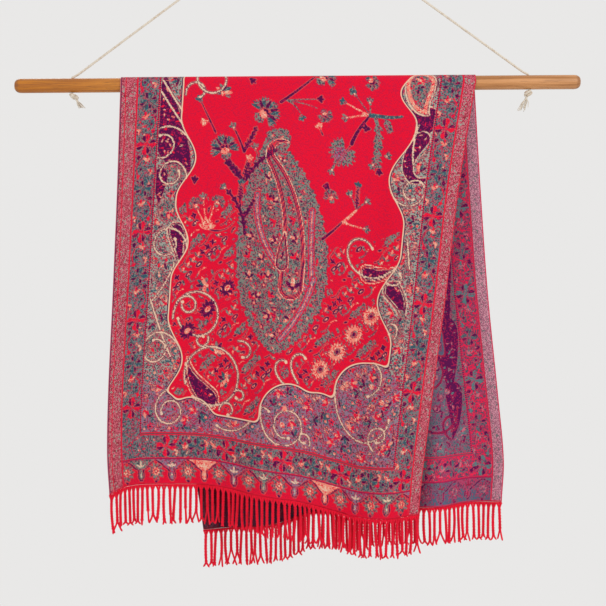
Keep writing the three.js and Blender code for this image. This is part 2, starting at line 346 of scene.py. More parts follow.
# Lines along the selvages: start, end, tone
EDGE_LINES = ((0.0, 1.6, "selvage"), (1.6, 3.2, "plum"), (10.5, 12.2, "edge_red"), (32.6, 35.8, "edge_red"))
# Lines along the hem: how far they stop from the selvages, start, end, tone
HEM_LINES = (
    (78.0, 94.8, 97.0, "edge_red"), (78.0, 97.0, 98.6, "shadow"), (78.0, 98.6, 100.6, "edge_red"),
    (SELVAGE_WIDTH, 48.0, 50.2, "maroon"), (SELVAGE_WIDTH, 50.2, 51.6, "edge_red"),
)


def cloth_material(name, tones):
    s = Shader(name, 0.9, 0.04, 0.15)
    where = s.attribute("cloth", "Vector")
    u, h = s.axis(where, "X"), s.axis(where, "Y")
    edge = s.math("MINIMUM", u, s.math("SUBTRACT", CLOTH_WIDTH + RIGHT_TRIM, u))
    boundary = s.attribute("boundary")
    fibre = s.noise(where, (0.9, 0.35, 1.0), 2.0)
    speck = s.cells(where, (2.6, 1.9, 1.0), 1.0)
    pepper = s.cells(where, (2.1, 2.5, 1.0), 2.0)
    fine = s.cells(where, (1.5, 1.5, 1.0), 3.0)
    jitter = s.plus(s.plus(s.times(fibre, 2.6), s.times(fine, 1.2)), -1.9)

    def inked(distance):
        return s.under(s.plus(distance, jitter), 0.0, 0.4)

    def flecked(tone, first, share, second="shadow", rest=0.0):
        """A tone with shares of its threads in one or two others."""
        colour = s.mix(s.some(speck, share), tones[tone], tones[first])
        return s.mix(s.some(pepper, rest), colour, tones[second]) if rest else colour

    field = s.mix(s.times(s.some(speck, 0.3), 0.55), tones["field"], tones["field_fleck"])
    side = flecked("panel", "panel_fleck", 0.34, "shadow", 0.22)
    low = flecked("mauve", "panel_fleck", 0.34, "shadow", 0.16)
    colour = s.mix(inked(boundary), field, s.mix(s.under(h, 200.0, 30.0), side, low))
    in_band = s.math("MAXIMUM", s.under(edge, BAND_WIDTH, 0.5), s.under(h, BAND_TOP, 0.5))
    outside = s.math("SUBTRACT", 1.0, in_band)
    colour = s.mix(in_band, colour, flecked("band", "panel_fleck", 0.36, "shadow", 0.3))
    hem = s.mix(s.some(pepper, tones["hem_share"]), field, tones["panel_fleck"])
    colour = s.mix(s.under(h, HEM_TOP, 0.5), colour, hem)
    colour = s.mix(s.times(s.band(boundary, -3.6, -1.5), outside), colour, tones["plum"])
    threads = {
        "grey": flecked("grey", "panel_fleck", 0.3, "shadow", 0.26),
        "blush": flecked("mauve", "blush", 0.42, "shadow", 0.12),
        "plum": flecked("plum", "maroon", 0.24),
        "red": flecked("red", "maroon", 0.16),
        "teal": flecked("teal", "grey", 0.24, "shadow", 0.2),
        "salmon": flecked("salmon", "red", 0.2, "cream", 0.14),
        "cream": tones["cream"],
    }
    for ink in INKS:
        distance = s.attribute(ink)
        colour = s.mix(inked(distance), colour, threads[ink])
        if ink in RIMS:
            colour = s.mix(s.times(s.band(distance, -0.5, 0.7), 0.25), colour, tones[RIMS[ink]])
    colour = s.mix(s.times(s.band(boundary, -1.5, 1.0), outside), colour, tones["cream"])
    twill = s.math("SINE", s.times(s.plus(u, s.times(h, 0.8)), 1.9))
    mottled = s.plus(s.times(twill, 0.4), s.times(s.plus(fine, -0.5), 2.2))
    heather = s.mix(s.under(mottled, 0.0, 0.3), tones["selvage"], tones["selvage_dark"])
    heather = s.mix(s.some(pepper, 0.1), heather, tones["panel"])
    colour = s.mix(s.under(edge, SELVAGE_WIDTH, 0.4), colour, heather)
    for start, end, tone in EDGE_LINES:
        colour = s.mix(s.band(edge, start, end), colour, tones[tone])
    dots = s.under(s.math("SINE", s.times(h, 1.5)), 0.2, 0.4)
    dotted = s.times(s.band(edge, 77.4, 80.2), s.over(h, BAND_TOP, 0.5))
    colour = s.mix(dotted, colour, s.mix(dots, tones["plum"], tones["edge_red"]))
    for stop, start, end, tone in HEM_LINES:
        line = s.times(s.band(h, start, end), s.over(edge, stop, 0.4))
        colour = s.mix(line, colour, tones[tone])
    colour = s.mix(s.under(h, 3.2, 1.0, 0.8), colour, tones["edge_red"])
    # Painted shade, partly the cloth's own dark plum: near the hem over the left part, the reverse is
    # darkened towards plum where the back fall lies in the gap behind the front fringe
    gap_shade = s.times(s.under(u, 420.0, 60.0, tones["gap_shade"]), s.under(h, 110.0, 30.0))
    colour = s.mix(gap_shade, colour, tones["plum"], "MULTIPLY")
    colour = s.mix(s.under(fibre, 0.47, 0.22, 0.18), colour, (0.0, 0.0, 0.0, 1.0))
    weave = s.math("SINE", s.times(s.plus(u, h), 4.2))
    s.bump(s.plus(s.times(weave, 0.35), fibre), 0.3, 0.0006)
    return s.paint(colour)


WOOD = wood_material()
COTTON = cotton_material()
YARN = yarn_material()
CLOTH_FACE = cloth_material("woven_face", FACE)
CLOTH_REVERSE = cloth_material("woven_reverse", REVERSE)

# Cord and knots
CORD_HALF = (
    (0, 2.25), (3.5, 1.7), (6.6, 0.1), (14, -5.3), (60, -39), (140, -97.5), (220, -156), (300, -214.6),
    (380, -273.2), (435, -313.4), (443, -318.6), (448.5, -321.3), (451.8, -324), (453, -327.6),
    (453, -338.6), (453, -352.6),
)
CORD_STRANDS = 3
CORD_LAY = 15.0
KNOTS = (
    {"name": "knot_left", "side": -1, "lean": 0.72, "tail": 17.0, "spread": 9.0},
    {"name": "knot_right", "side": 1, "lean": -0.36, "tail": 28.0, "spread": 10.5},
)
KNOT_TOP = ROD_HEIGHT - ROD_RADIUS - GAP
KNOT_HEIGHT = 15.0
TAIL_YARNS = 16
# How the knot's rope winds: its mean distance from the middle, how that swings, its rise, the rope's radius
KNOT_WIND = (4.1, 2.0, 3.4, 2.6)


def laid_rope(route, radius, strands, lay, sides):
    """Strands twisted round a route."""
    ahead = np.gradient(route, axis=0)
    ahead /= np.linalg.norm(ahead, axis=1)[:, None]
    side = np.cross(ahead, (0.0, 1.0, 0.0))
    side /= np.linalg.norm(side, axis=1)[:, None]
    other = np.cross(ahead, side)
    reach = reach_along(route)
    parts = []
    for n in range(strands):
        turn = 2 * math.pi * (reach / lay + n / strands)[:, None]
        off = (np.cos(turn) * side + np.sin(turn) * other) * radius * 0.5
        parts.append(tube(route + off, np.full(len(route), radius * 0.62), sides))
    return joined(parts)


def cord_route():
    right = [(x, 0.0, z) for x, z in CORD_HALF]
    left = [(-x, 0.0, z) for x, z in CORD_HALF[1:]]
    return left[::-1] + right


def knot_piece(place_of):
    """A tight overhand knot and its frayed end."""
    side, lean, tail, spread = (place_of[k] for k in ("side", "lean", "tail", "spread"))
    reach, swing, rise, rope = KNOT_WIND
    t = np.linspace(0, 2 * math.pi, 97)
    across = reach + swing * np.cos(3 * t)
    up = rise * np.sin(3 * t) - KNOT_HEIGHT / 2
    loops = np.stack([across * np.cos(2 * t), across * np.sin(2 * t), up], axis=1)
    core = even_steps([(0, 0, -0.4), (0, 0, -KNOT_HEIGHT - 3.0)], 2.0)
    parts = [laid_rope(loops, rope, 3, 9.0, 7), tube(core, np.full(len(core), 2.4), 10)]
    chance = np.random.default_rng(11 if side < 0 else 12)
    for k in range(TAIL_YARNS):
        angle = 2 * math.pi * k / TAIL_YARNS * 2.6
        out = np.array([math.cos(angle), math.sin(angle), 0.0])
        ring = math.sqrt((k + 0.5) / TAIL_YARNS)
        length = tail * chance.uniform(0.72, 1.0)
        root = out * ring * 1.9 + (0, 0, -KNOT_HEIGHT + 1.0)
        end = out * ring * spread * chance.uniform(0.7, 1.1) + (0, 0, -KNOT_HEIGHT - length)
        bow = out * chance.uniform(0.2, 1.4) + (0, 0, -0.4 * length)
        path = rounded([root, root + bow * 0.6, (root + end) / 2 + out * 0.5, end], 5)
        parts.append(tube(path, np.linspace(1.0, 0.6, len(path)), 5))
    points, faces = joined(parts)
    points[:, 0] += lean * np.maximum(-points[:, 2] - 1, 0)
    points += (side * HOLE_X, 0.0, KNOT_TOP)
    piece = piece_from(place_of["name"] + "_tied", points, faces, [COTTON])
    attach(piece, "root")
    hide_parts(place_of["name"])
    return piece


knots = [knot_piece(k) for k in KNOTS]
route = even_steps(rounded(cord_route(), 10), 2.6)
rope_points, rope_faces = laid_rope(route, CORD_RADIUS, CORD_STRANDS, CORD_LAY, 7)
hanging_cord = piece_from("hanging_cord", rope_points, rope_faces, [COTTON])
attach(hanging_cord, "root")
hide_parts("cord")


# Rod
# The rod's rounded ends: distance from the end, radius
ROD_END = ((0.0, 5.0), (0.5, 8.0), (2.2, 10.5), (4.6, 12.3), (8.0, 13.5), (12.0, 14.0))


def rod_piece():
    left, right = ROD_OFFSET - ROD_LENGTH / 2, ROD_OFFSET + ROD_LENGTH / 2
    profile = [(left + back, radius) for back, radius in ROD_END]
    profile += [(x, ROD_RADIUS) for x in np.linspace(left + 30, right - 30, 40)]
    profile += [(right - back, radius) for back, radius in ROD_END[::-1]]
    centres = [(x, 0.0, ROD_HEIGHT) for x, _ in profile]
    stick = piece_from("stick", *tube(centres, [radius for _, radius in profile], 56), [WOOD])
    for hole in (-HOLE_X, HOLE_X):
        path = [(hole, 0.0, ROD_HEIGHT - 30), (hole, 0.0, ROD_HEIGHT + 30)]
        drill = piece_from("drill", *tube(path, (HOLE_RADIUS, HOLE_RADIUS), 24), [WOOD])
        cut = stick.modifiers.new("hole", "BOOLEAN")
        cut.object = drill
        cut.operation = "DIFFERENCE"
        cut.solver = "EXACT"
        drawn = bpy.data.meshes.new_from_object(stick.evaluated_get(bpy.context.evaluated_depsgraph_get()))
        stick.modifiers.clear()
        stick.data = drawn
        bpy.data.objects.remove(drill)
    stick.data.set_sharp_from_angle(angle=math.radians(40))
    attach(stick, "root")
    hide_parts("rod")


rod_piece()

# Cloth shape
# share of the way down, left and right selvage along X, share of the folds' depth that has opened
FRONT_SECTIONS = (
    (0.0, -354, 346, 0.0), (0.25, -362, 310, 0.36), (0.5, -372, 283, 0.6), (0.75, -383, 253, 0.82),
    (0.9, -386, 236, 0.93), (1.0, -382, 227, 1.0),
)
BACK_SECTIONS = (
    (0.0, -355, 347, 0.0), (0.25, -318, 358, 0.36), (0.5, -278, 371, 0.6), (0.75, -238, 390, 0.82),
    (0.9, -212, 400, 0.93), (1.0, -199, 395, 1.0),
)
# share of the way across, drop of the hem below the rod's axis
FRONT_HEM = (
    (0.0, 811), (0.06, 791), (0.16, 782), (0.3, 789), (0.45, 803), (0.6, 817), (0.72, 842), (0.8, 855),
    (1.0, 853),
)
BACK_HEM = ((0.0, 883), (0.12, 883), (0.27, 870), (0.38, 855), (0.73, 844), (1.0, 832))
# crest's share of the way across, width as a share of the fall's, depth at the hem
FRONT_FOLDS = ((0.165, 0.34, 44), (0.54, 0.41, 54), (0.885, 0.27, 34))
BACK_FOLDS = ((0.1, 0.24, 30), (0.36, 0.28, 42), (0.64, 0.28, 40), (0.9, 0.24, 30))
# soft creases: across at the top and the foot, share where it starts and ends, width and height
FRONT_CREASES = (
    (0.07, 0.05, 0.02, 0.9, 30, 1.6), (0.2, 0.24, 0.0, 0.5, 40, -1.5), (0.34, 0.32, 0.1, 1.0, 34, 1.7),
    (0.45, 0.42, 0.3, 1.0, 26, -1.4), (0.6, 0.66, 0.0, 0.7, 44, 1.4), (0.72, 0.7, 0.25, 1.0, 30, -1.7),
    (0.77, 0.75, 0.7, 1.0, 20, -3.0), (0.8, 0.84, 0.02, 0.8, 30, 1.5), (0.94, 0.95, 0.1, 1.0, 26, -1.3),
    (0.5, 0.56, 0.02, 0.35, 36, 1.2),
)
BACK_CREASES = (
    (0.05, 0.06, 0.05, 1.0, 28, 1.6), (0.18, 0.16, 0.0, 0.6, 40, -1.5), (0.3, 0.28, 0.2, 1.0, 30, 1.6),
    (0.44, 0.47, 0.0, 0.8, 40, 1.5), (0.55, 0.52, 0.3, 1.0, 30, -1.6), (0.7, 0.74, 0.0, 0.7, 36, 1.4),
    (0.82, 0.8, 0.1, 1.0, 30, -1.6), (0.95, 0.96, 0.2, 1.0, 24, 1.3),
)
FRONT = {
    "side": -1, "sections": FRONT_SECTIONS, "hem": FRONT_HEM, "folds": FRONT_FOLDS, "creases": FRONT_CREASES,
}
BACK = {"side": 1, "sections": BACK_SECTIONS, "hem": BACK_HEM, "folds": BACK_FOLDS, "creases": BACK_CREASES}


def through(rows, column, at):
    """A smooth curve through a table's rows, keyed by their first column."""
    rows = np.array(rows, float)
    key, value, last = rows[:, 0], rows[:, column], len(rows) - 1
    low = np.maximum(np.arange(last + 1) - 1, 0)
    high = np.minimum(np.arange(last + 1) + 1, last)
    slope = (value[high] - value[low]) / (key[high] - key[low])
    at = np.asarray(at, float)
    i = np.clip(np.searchsorted(key, at, side="left") - 1, 0, last - 1)
    span = key[i + 1] - key[i]
    t = (at - key[i]) / span
    return (
        value[i] * (2 * t**3 - 3 * t**2 + 1) + slope[i] * span * (t**3 - 2 * t**2 + t)
        + value[i + 1] * (3 * t**2 - 2 * t**3) + slope[i + 1] * span * (t**3 - t**2)
    )


def cloth_points(fall, across, along):
    share = np.maximum(along, 0)
    left = through(fall["sections"], 1, share)
    right = through(fall["sections"], 2, share)
    opened = through(fall["sections"], 3, share)
    depth = np.zeros_like(across)
    for crest, width, reach in fall["folds"]:
        off = (across - crest) / width
        depth += np.where(np.abs(off) < 0.5, reach * 0.5 * (1 + np.cos(2 * math.pi * off)), 0)
    depth = opened * depth - INWARD_DRIFT * share**2
    x = left + (right - left) * across
    y = WRAP_RADIUS + depth
    z = ROD_HEIGHT - share * through(fall["hem"], 1, across)
    seam = GAP / 2 / WRAP_RADIUS
    angle = seam + (1 + along) * (math.pi / 2 - seam)
    over = along < 0
    y = np.where(over, WRAP_RADIUS * np.sin(angle), y)
    z = np.where(over, ROD_HEIGHT + WRAP_RADIUS * np.cos(angle), z)
    return np.stack([x, fall["side"] * y, z], axis=-1)


def cloth_normals(points, side):
    acrossward = np.gradient(points, axis=1)
    downward = np.gradient(points, axis=0)
    normals = np.cross(acrossward, downward) * side
    return normals / np.linalg.norm(normals, axis=-1)[..., None]


def crease_heights(fall, across, along):
    share = np.maximum(along, 0)
    width = through(fall["sections"], 2, share) - through(fall["sections"], 1, share)
    height = np.zeros_like(across)
    for top, foot, start, end, spread, rise in fall["creases"]:
        middle = top + (foot - top) * share
        off = (across - middle) * width / spread
        ends = np.clip((share - start) / 0.15, 0, 1) * np.clip((end - share) / 0.15 + (end == 1.0), 0, 1)
        ends = ends * ends * (3 - 2 * ends)
        height += rise * np.exp(-off * off * 4) * ends
    settle = np.clip(share / 0.08, 0, 1)
    height += settle * 0.35 * np.sin(across * 31 + 2 * np.sin(share * 9)) * np.sin(share * 14 + across * 5)
    return height


# Cloth pattern, in millimetres from the left selvage and from the hem
PINWHEEL_PITCH = 86.0
PENDANT_PITCH = 68.0
BAND_MIDDLE = 57.0
PENDANT_START = 79.0
FOOT_PITCH = 63.7
FOOT_MIDDLE = 73.0
LEFT_BASE = 125.0
RIGHT_BASE = 105.0
FOOT_BASE = 140.0
# Where the side borders swell into the field: height, half the swell's height, depth
LEFT_SWELLS = ((240, 85, 35), (470, 75, 30), (635, 80, 34), (850, 60, 16))
RIGHT_SWELLS = ((425, 90, 38), (665, 95, 40), (835, 65, 40))
# The rounds of the bottom border: place, height, radius
FOOT_ROUNDS = ((120, 140, 40), (185, 120, 50), (395, 160, 62), (465, 150, 68), (560, 230, 72), (575, 160, 50))


def bend(at, heading, length, sweep=0.0, power=1.0, steps=22):
    """Points along a path whose heading turns by sweep degrees over its length."""
    t = (np.arange(steps) + 0.5) / steps
    angle = np.radians(heading + sweep * t**power)
    moves = length / steps * np.stack([np.cos(angle), np.sin(angle)], axis=1)
    return np.concatenate([[at], np.asarray(at, float) + np.cumsum(moves, axis=0)])


def beside(at, heading, reach):
    return at[0] + reach * math.cos(math.radians(heading)), at[1] + reach * math.sin(math.radians(heading))


def swelling(base, swells, h):
    reach = np.full(h.shape, base)
    for middle, half, depth in swells:
        reach = reach + depth * np.cos(np.clip((h - middle) / half, -1, 1) * math.pi / 2) ** 2
    return reach


def eased(a, b, reach):
    """The smaller of two values, with their corner rounded off."""
    return np.minimum(a, b) - np.maximum(reach - np.abs(a - b), 0) ** 2 / (4 * reach)


def boundary_values(u, h):
    """How far a point lies inside the field, less than 0 in the borders."""
    left = u - swelling(LEFT_BASE, LEFT_SWELLS, h)
    right = CLOTH_WIDTH - u - swelling(RIGHT_BASE, RIGHT_SWELLS, h)
    foot = h - FOOT_BASE
    for at, middle, radius in FOOT_ROUNDS:
        foot = eased(foot, np.hypot(u - at, np.maximum(h - middle, 0)) - radius, 14.0)
    return np.clip(eased(np.minimum(left, right), foot, 12.0), -FAR, FAR)


class Canvas:
    """For each ink, how far a cloth point lies outside that ink's shapes, less than 0 inside."""

    def __init__(self, u, h):
        self.u, self.h = u.ravel(), h.ravel()
        self.edge = np.minimum(self.u, CLOTH_WIDTH + RIGHT_TRIM - self.u)
        self.boundary = boundary_values(self.u, self.h)
        self.inks = {ink: np.full(self.u.shape, FAR) for ink in INKS}
        self.guard = None

    def drawn(self, inks):
        return np.minimum.reduce([self.inks[ink] for ink in inks])

    def keep_off(self, gap, inks, zone):
        """What is drawn from here on stays this far off these inks, and where zone is over 0."""
        self.guard = np.maximum(gap - self.drawn(inks), -zone)

    def put(self, ink, where, distance):
        if self.guard is not None:
            distance = np.maximum(distance, self.guard[where])
        layer = self.inks[ink]
        layer[where] = np.minimum(layer[where], distance)

    def cover(self, ink, where, distance):
        """Lays one ink over all others."""
        if self.guard is not None:
            distance = np.maximum(distance, self.guard[where])
        for name, layer in self.inks.items():
            if name != ink:
                layer[where] = np.maximum(layer[where], -distance)
        self.put(ink, where, distance)

    def near(self, path, reach):
        low, high = path.min(axis=0) - reach, path.max(axis=0) + reach
        inside = (self.u > low[0]) & (self.u < high[0]) & (self.h > low[1]) & (self.h < high[1])
        return np.nonzero(inside)[0]

    def distance(self, path, radii, reach=9.0):
        """The points near a chain of tapering strokes, and their distance from it."""
        path = np.asarray(path, float)
        radii = np.broadcast_to(np.asarray(radii, float), (len(path),))
        where = self.near(path, radii.max() + reach)
        best = np.full(len(where), FAR)
        u, h = self.u[where], self.h[where]
        for (ax, ay), (bx, by), ra, rb in zip(path[:-1], path[1:], radii[:-1], radii[1:]):
            dx, dy = bx - ax, by - ay
            t = np.clip(((u - ax) * dx + (h - ay) * dy) / max(dx * dx + dy * dy, 1e-6), 0, 1)
            best = np.minimum(best, np.hypot(u - ax - t * dx, h - ay - t * dy) - ra - (rb - ra) * t)
        return where, best

    def stroke(self, ink, path, start, end):
        self.put(ink, *self.distance(path, np.linspace(start, end, len(path))))

    def line(self, path, width, ink="cream"):
        """A light line with a dark edge on both sides."""
        where, distance = self.distance(path, width)
        self.cover("plum", where, distance - 1.3)
        self.put(ink, where, distance)

    def curl(self, at, heading, length, sweep, width, ink="cream"):
        """A line that winds in to a small bulb."""
        path = bend(at, heading, length, sweep, 1.5, 40)
        self.line(path, width, ink)
        self.disc(ink, path[-1], width * 2.0)

    def disc(self, ink, at, radius, count=1, turn=0.0, depth=0.0, stretch=1.0, tilt=0.0):
        """A round, scalloped into petals by count and depth, drawn out by stretch along tilt."""
        where = self.near(np.array([at], float), radius * stretch + 9)
        du, dh = self.u[where] - at[0], self.h[where] - at[1]
        c, s = math.cos(math.radians(tilt)), math.sin(math.radians(tilt))
        along, off = (du * c + dh * s) / stretch, dh * c - du * s
        petal = np.cos(count * (np.arctan2(off, along) - math.radians(turn)))
        self.cover(ink, where, np.hypot(along, off) - radius * (1 - depth * 0.5 * (1 - petal)))

    def leaf(self, ink, at, heading, length, width):
        swell = np.sin(math.pi * (0.06 + 0.9 * np.linspace(0, 1, 5))) ** 0.8
        self.put(ink, *self.distance(bend(at, heading, length, steps=4), width / 2 * swell))

    def fan(self, inks, at, heading, spread, count, length, width):
        """Leaves that spread from one point."""
        for k in range(count):
            off = spread * (k / (count - 1) - 0.5)
            self.leaf(inks[k % len(inks)], at, heading + off, length * (1 - 0.15 * abs(off) / 90), width)

    def tulip(self, at, heading, size, inks):
        self.fan(inks, at, heading, 100, 3, size, size * 0.42)
        self.fan((inks[-1],), at, heading + 180, 120, 2, size * 0.6, size * 0.3)
        self.disc(inks[0], at, size * 0.2)

    def floret(self, at, heading, ink, petals, depth, heart, size):
        """A small flower with a round heart."""
        self.disc(ink, at, 8, petals, heading, depth)
        self.disc(heart, at, size)

    def plume(self, ink, path, start, end, barb):
        """A stem, with barbs on both sides where barb is over 0."""
        self.stroke(ink, path, start, end)
        for k in range(2, len(path) - 1, 2) if barb else ():
            way = path[k + 1] - path[k - 1]
            heading = math.degrees(math.atan2(way[1], way[0]))
            length = 1.25 * barb * (1 - 0.4 * k / len(path))
            for hand in (-1, 1):
                self.leaf(ink, path[k], heading + hand * 40, length, barb * 0.4)

    def drop(self, path, width, rings):
        """A drop round a path: rings of ink, each starting some way inside its outline."""
        t = np.linspace(0, 1, len(path))
        where, distance = self.distance(path, width / 2 * (1 - t**1.4) + 0.5, 12.0)
        for ink, inset in rings:
            self.cover(ink, where, distance + inset)

    def paisley(self, at, heading, length, width, sweep, rings):
        """A drop with a bent tail."""
        self.drop(bend(at, heading, length, sweep, 2.0), width, rings)

    def pinwheel(self, at, size, inks):
        """Four petals, each half in one ink and half in the other, over narrow leaves."""
        where = self.near(np.array([at], float), size + 8)
        du, dh = self.u[where] - at[0], self.h[where] - at[1]
        reach = np.hypot(du, dh)
        angle = np.mod(np.arctan2(dh, du) + math.pi / 4, math.pi / 2)
        off = np.abs(angle - math.pi / 4)
        petal = np.maximum(reach - size * (1 - 0.3 * (off / 0.58) ** 2), (off - 0.58) * reach)
        for k in range(4):
            self.leaf("grey", at, 45 + 90 * k, size * 0.9, size * 0.3)
        self.cover(inks[0], where, petal)
        half = np.maximum(petal, (math.pi / 4 + 0.05 - angle) * reach)
        self.cover(inks[1], where, np.maximum(half, 4.5 - reach))

    def fill(self, zone, pitch, motifs, steps, heading_of):
        """The motifs in turn at each place of a staggered grid that lies where zone is over 0."""
        for r in range(int(self.h.max() // (pitch * 0.87)) + 1):
            for c in range(int(CLOTH_WIDTH // pitch) + 1):
                stray = 0.22 * math.sin(7.1 * r + 3.7 * c), 0.22 * math.sin(5.3 * c - 2.9 * r)
                at = (pitch * (c + 0.5 * (r % 2) + stray[0]), pitch * (0.87 * r + stray[1]))
                spot = np.argmin((self.u - at[0]) ** 2 + (self.h - at[1]) ** 2)
                if zone[spot] > 0:
                    draw, *values = motifs[(steps[0] * r + steps[1] * c) % len(motifs)]
                    draw(self, at, heading_of(r, c), *values)
        self.guard = None


DARK_DROP = (("cream", -2.6), ("red", -0.6), ("plum", 0.6), ("cream", 3.4), ("plum", 4.6))
PLAIN_DROP = (("plum", 0.0),)
PALE_DROP = (("cream", -2.4), ("plum", 0.2), ("salmon", 1.8), ("red", 8.5), ("grey", 10.0))
CRESCENT = (("cream", -2.2), ("plum", -0.2))
GREY_DROP = (("plum", -1.4), ("grey", 0.0))
# Drops in the side borders: place, height, heading, length, width, sweep, rings
BORDER_DROPS = (
    (110, 670, 105, 140, 60, -20, PLAIN_DROP), (110, 660, -60, 95, 60, -35, PLAIN_DROP),
    (90, 600, -90, 55, 30, 0, PLAIN_DROP), (115, 610, -20, 70, 25, -70, GREY_DROP),
    (110, 530, 10, 60, 40, -50, GREY_DROP), (130, 490, -75, 75, 35, -30, DARK_DROP),
    (100, 270, 60, 60, 35, -40, GREY_DROP), (100, 405, -60, 60, 20, 50, GREY_DROP),
    (605, 850, -95, 60, 45, 0, PLAIN_DROP), (600, 775, 15, 45, 62, 0, CRESCENT),
    (592, 850, -88, 68, 58, 60, PALE_DROP),
    (610, 740, -125, 130, 30, 205, CRESCENT),
    (585, 445, -50, 75, 35, -70, DARK_DROP), (600, 365, 60, 45, 30, 60, GREY_DROP),
    (610, 480, 80, 50, 10, 20, GREY_DROP),
)
# Dark drops beside the right band of the back fall, in the same columns
BACK_DROPS = (
    (602, 480, -90, 150, 52, 8, PLAIN_DROP), (598, 345, -88, 130, 62, -10, PLAIN_DROP),
    (604, 225, -90, 100, 40, -30, PLAIN_DROP),
)
# Winding lines in the borders: place, height, heading, length, sweep
BORDER_CURLS = (
    (145, 670, 130, 235, 430), (130, 560, 55, 195, 420), (155, 440, 90, 205, 390), (155, 260, 120, 225, 440),
    (150, 190, 200, 215, 450), (560, 640, -60, 195, 430), (590, 560, -95, 110, -300),
    (565, 470, -60, 60, 200), (600, 350, 60, 70, 300), (320, 150, 70, 45, -120), (335, 175, -90, 300, 470),
    (490, 225, -80, 190, 170), (490, 225, 95, 220, -260), (585, 130, 140, 110, -330),
    (320, 145, -130, 90, -80), (445, 110, 80, 60, 300),
)
# Plain double lines: place, height, heading, length, sweep
BORDER_LINES = (
    (75, 780, -60, 115, 10), (85, 790, -60, 110, 10), (130, 430, -105, 90, -30), (85, 360, -70, 125, 8),
    (145, 190, 40, 110, -65), (600, 770, -105, 80, 30), (605, 545, -80, 60, 0),
)
# Small discs on the bottom border's rounds
ROUND_DISCS = ((386, 174), (384, 142), (566, 256), (590, 226), (572, 310))
# Small motifs that fill the borders
BORDER_MOTIFS = (
    (Canvas.curl, 34, 330, 1.1, "salmon"), (Canvas.tulip, 15, ("plum", "teal")),
    (Canvas.floret, "red", 5, 0.5, "plum", 3), (Canvas.tulip, 15, ("red", "salmon")),
    (Canvas.floret, "teal", 6, 0.4, "salmon", 3),
)
# Small flowers of a band: place, distance from its middle, ink, radius, petals, turn, depth
BAND_FLOWERS = (
    (0.45, 8.4, "teal", 8, 5, 10, 0.35), (0.45, 8.4, "plum", 3.6, 1, 0, 0.0),
    (0.74, 14, "plum", 6, 5, 0, 0.4), (0.7, -14, "grey", 6.5, 5, 0, 0.35), (0.28, 12.6, "red", 5, 5, 0, 0.4),
)


def draw_band(canvas, place_of, count):
    """A flower band: pinwheels in turn red and blue, with curling sprigs between them."""
    for k in range(count):
        hand, size, heading, ink = ((1, 21, 60, "red"), (-1, 18, 120, "teal"))[k % 2]
        canvas.pinwheel(place_of(k, 0.0), size, (ink, "plum"))
        canvas.stroke("red", bend(place_of(k + 0.34, 14 * hand), heading, 34, 90 * hand), 1.6, 1.2)
        canvas.tulip(place_of(k + 0.62, -4.2 * hand), 90, 13, ("salmon", "red"))
        canvas.tulip(place_of(k + 0.36, -14 * hand), 200, 11, ("salmon", "plum"))
        for place, off, *flower in BAND_FLOWERS:
            ink, radius, petals, turn, depth = flower
            canvas.disc(ink, place_of(k + place, off * hand), radius, petals, turn, depth)
        canvas.leaf("plum", place_of(k + 0.52, 15.4 * hand), 80, 13, 5)


def draw_borders(canvas, more_drops):
    panel = np.minimum(canvas.edge - BAND_WIDTH - 1, canvas.h - BAND_TOP - 7)
    canvas.guard = -np.minimum(panel, 1.5 - canvas.boundary)
    for u, h, *shape in BORDER_DROPS:
        canvas.paisley((u, h), *shape)
    for u, h, radius in FOOT_ROUNDS:
        canvas.disc("blush", (u, h), radius - 5)
    for u, h, *shape in more_drops:
        canvas.paisley((u, h), *shape)
    for u, h, heading, length, sweep in BORDER_LINES:
        canvas.line(bend((u, h), heading, length, sweep), 1.6)
    for u, h, heading, length, sweep in BORDER_CURLS:
        canvas.curl((u, h), heading, length, sweep, 1.5)
    for at in ROUND_DISCS:
        canvas.disc("salmon", at, 5.5)
    canvas.guard = None
    right_middle = CLOTH_WIDTH + RIGHT_TRIM - BAND_MIDDLE
    draw_band(canvas, lambda k, off: (BAND_MIDDLE + off, 151 + PINWHEEL_PITCH * k), 9)
    draw_band(canvas, lambda k, off: (right_middle + off, FOOT_MIDDLE + PINWHEEL_PITCH * k), 10)
    draw_band(canvas, lambda k, off: (136 + FOOT_PITCH * k, FOOT_MIDDLE + 0.7 * off), 8)
    ground = np.minimum(-canvas.boundary - 4, panel - 2)
    canvas.keep_off(3.4, OPEN_INKS, ground)
    canvas.fill(ground, 21.0, BORDER_MOTIFS, (2, 3), lambda r, c: 40 * ((r * 5 + c * 3) % 9))


# The hem's rosette: ink, radius, petals, turn, depth
HEM_ROSETTE = (
    ("plum", 19.5, 10, 0, 0.3), ("grey", 18, 10, 0, 0.42), ("salmon", 9.5, 8, 20, 0.4),
    ("plum", 5, 5, 0, 0.3), ("cream", 2.2, 1, 0, 0.0),
)


